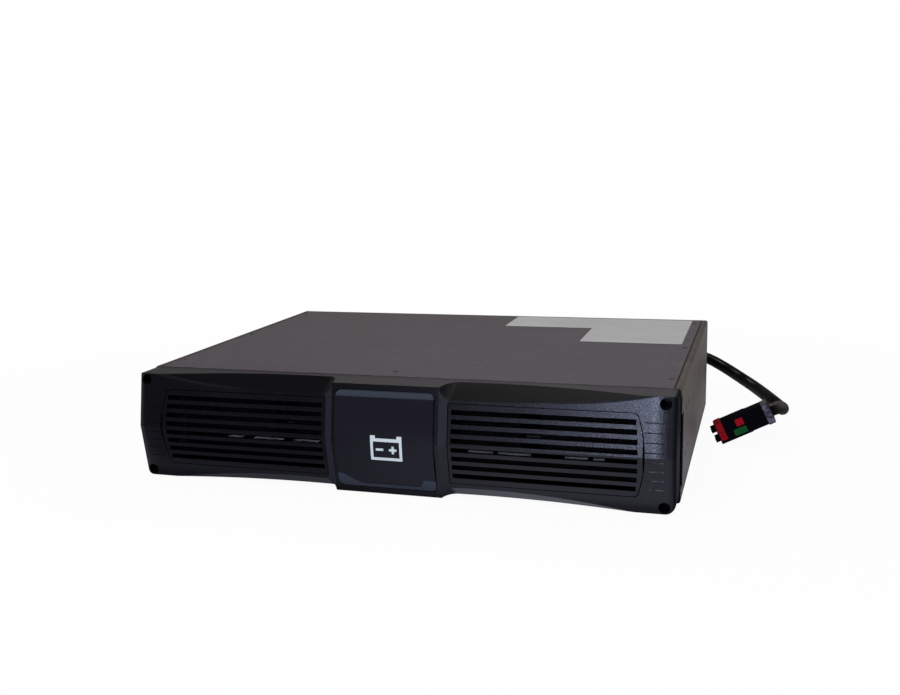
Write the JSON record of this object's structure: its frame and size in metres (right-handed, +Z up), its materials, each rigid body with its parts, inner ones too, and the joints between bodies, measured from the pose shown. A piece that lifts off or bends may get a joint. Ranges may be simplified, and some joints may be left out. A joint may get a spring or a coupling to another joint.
{
  "type": "rack battery pack",
  "caption": "Flat rack battery pack: folded steel case, creased moulded front with slotted air inserts and a gloss centre panel, and a rear battery lead with a modular connector.",
  "frame": {"origin": "middle of the base, half way between the front of the centre panel and the end of the cable gland", "axes": "+X to the right seen from the front, +Y from the front to the rear, +Z up"},
  "size_m": [0.5205, 0.4427, 0.088],
  "materials": {
    "case_paint": "fine-texture powder coat",
    "cover_paint": "fine-texture powder coat",
    "front_moulding": "fine spark texture",
    "gloss_panel": "polished",
    "zinc_plate": "zinc plated",
    "plate_black": "black paint with a bare sheared edge",
    "black_screw": "black zinc",
    "battery_case": "moulded",
    "terminal_brass": "tinned",
    "foam": "closed-cell foam",
    "fuse_base": "moulded",
    "fuse_body": "glazed",
    "lead_red": "satin",
    "lead_black": "satin",
    "lead_green": "satin",
    "black_fitting": "moulded",
    "cable_jacket": "satin",
    "band_grey": "satin",
    "pole_red": "satin",
    "pole_green": "satin"
  },
  "bodies": {
    "root": {"chassis_tray": "case_paint", "front_rail": "case_paint", "rear_panel": "case_paint", "top_cover": "cover_paint", "front_bezel": "front_moulding", "grille_left": "front_moulding", "grille_right": "front_moulding", "centre_panel": "gloss_panel", "battery_tray": "zinc_plate", "clamp_front": "zinc_plate", "clamp_rear": "zinc_plate", "clamp_screws": "zinc_plate", "plate_screws": "zinc_plate", "retaining_plate": "plate_black", "cover_screws": "black_screw", "bezel_screws": "black_screw", "rear_screws": "black_screw", "battery_block_1": "battery_case", "battery_block_2": "battery_case", "battery_block_3": "battery_case", "battery_block_4": "battery_case", "battery_block_5": "battery_case", "battery_block_6": "battery_case", "battery_tabs": "terminal_brass", "link_straps": "terminal_brass", "socket_contacts": "terminal_brass", "earth_stud": "terminal_brass", "earth_nut": "terminal_brass", "foam_front": "foam", "foam_rear": "foam", "fuse_base": "fuse_base", "fuse_cartridge": "fuse_body", "lead_positive": "lead_red", "lead_fused": "lead_red", "lead_negative": "lead_black", "lead_earth": "lead_green", "cable_gland": "black_fitting", "gland_nut": "black_fitting", "gland_cap": "black_fitting", "chain_socket": "black_fitting", "connector_frame": "black_fitting", "cable_sleeve": "black_fitting", "battery_cable": "cable_jacket", "sleeve_band": "band_grey", "poles_front": "pole_red", "pole_positive": "pole_red", "pole_earth": "pole_green"}
  },
  "joints": []
}
